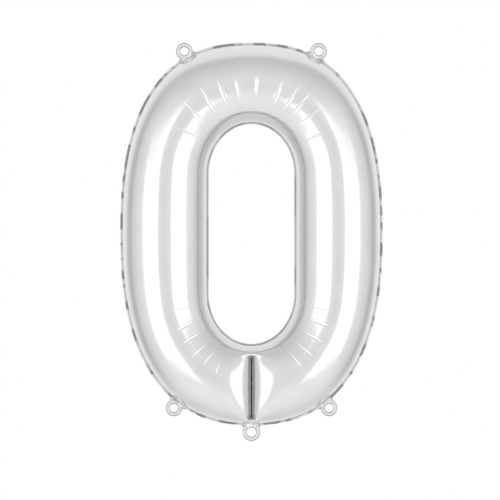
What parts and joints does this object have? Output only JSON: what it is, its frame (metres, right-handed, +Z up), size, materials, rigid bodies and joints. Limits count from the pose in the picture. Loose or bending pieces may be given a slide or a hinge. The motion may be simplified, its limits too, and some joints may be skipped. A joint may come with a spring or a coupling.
{
  "type": "foil number balloon",
  "caption": "Air-filled silver foil balloon in the shape of a nought, with a sealed rim, an open window, a cross weld and hanging tabs on film hinges.",
  "frame": {"origin": "middle of the whole balloon's box, hanging tabs included", "axes": "+Z up the figure, front film towards -Y, +X to the right as seen from the front"},
  "size_m": [0.2304, 0.0724, 0.3496],
  "materials": {
    "foil": "mirror bright metallised film, stretched tight",
    "heat_seal": "rippled heat seal of two metallised films",
    "tab_foil": "bright metallised film, crumpled at the foot",
    "valve_film": "thin translucent valve film"
  },
  "bodies": {
    "root": {"front_panel": "foil", "back_panel": "foil", "outer_rim_seal": "heat_seal", "window_seal": "heat_seal", "cross_weld": "heat_seal", "valve_front_film": "valve_film", "valve_back_film": "valve_film"},
    "tab_top_left": {"tab_top_left": "tab_foil"},
    "tab_top_right": {"tab_top_right": "tab_foil"},
    "tab_bottom_left": {"tab_bottom_left": "tab_foil"},
    "tab_bottom_right": {"tab_bottom_right": "tab_foil"},
    "tab_bottom_centre": {"tab_bottom_centre": "tab_foil"}
  },
  "joints": [
    {"name": "tab_top_left_fold", "type": "hinge", "parent": "root", "child": "tab_top_left", "pos_m": [-0.05654, 0, 0.16302], "axis": [0.8733, 0, 0.4872], "range_deg": [-90, 90], "stiffness_Nm_per_rad": 0.00002},
    {"name": "tab_top_right_fold", "type": "hinge", "parent": "root", "child": "tab_top_right", "pos_m": [0.05654, 0, 0.16302], "axis": [0.8733, 0, -0.4872], "range_deg": [-90, 90], "stiffness_Nm_per_rad": 0.00002},
    {"name": "tab_bottom_left_fold", "type": "hinge", "parent": "root", "child": "tab_bottom_left", "pos_m": [-0.0651, 0, -0.1418], "axis": [-0.7906, 0, 0.6124], "range_deg": [-90, 90], "stiffness_Nm_per_rad": 0.00002},
    {"name": "tab_bottom_right_fold", "type": "hinge", "parent": "root", "child": "tab_bottom_right", "pos_m": [0.0651, 0, -0.1418], "axis": [-0.7906, 0, -0.6124], "range_deg": [-90, 90], "stiffness_Nm_per_rad": 0.00002},
    {"name": "tab_bottom_centre_fold", "type": "hinge", "parent": "root", "child": "tab_bottom_centre", "pos_m": [0, 0, -0.16105], "axis": [-1, 0, 0], "range_deg": [-90, 90], "stiffness_Nm_per_rad": 0.00002}
  ]
}
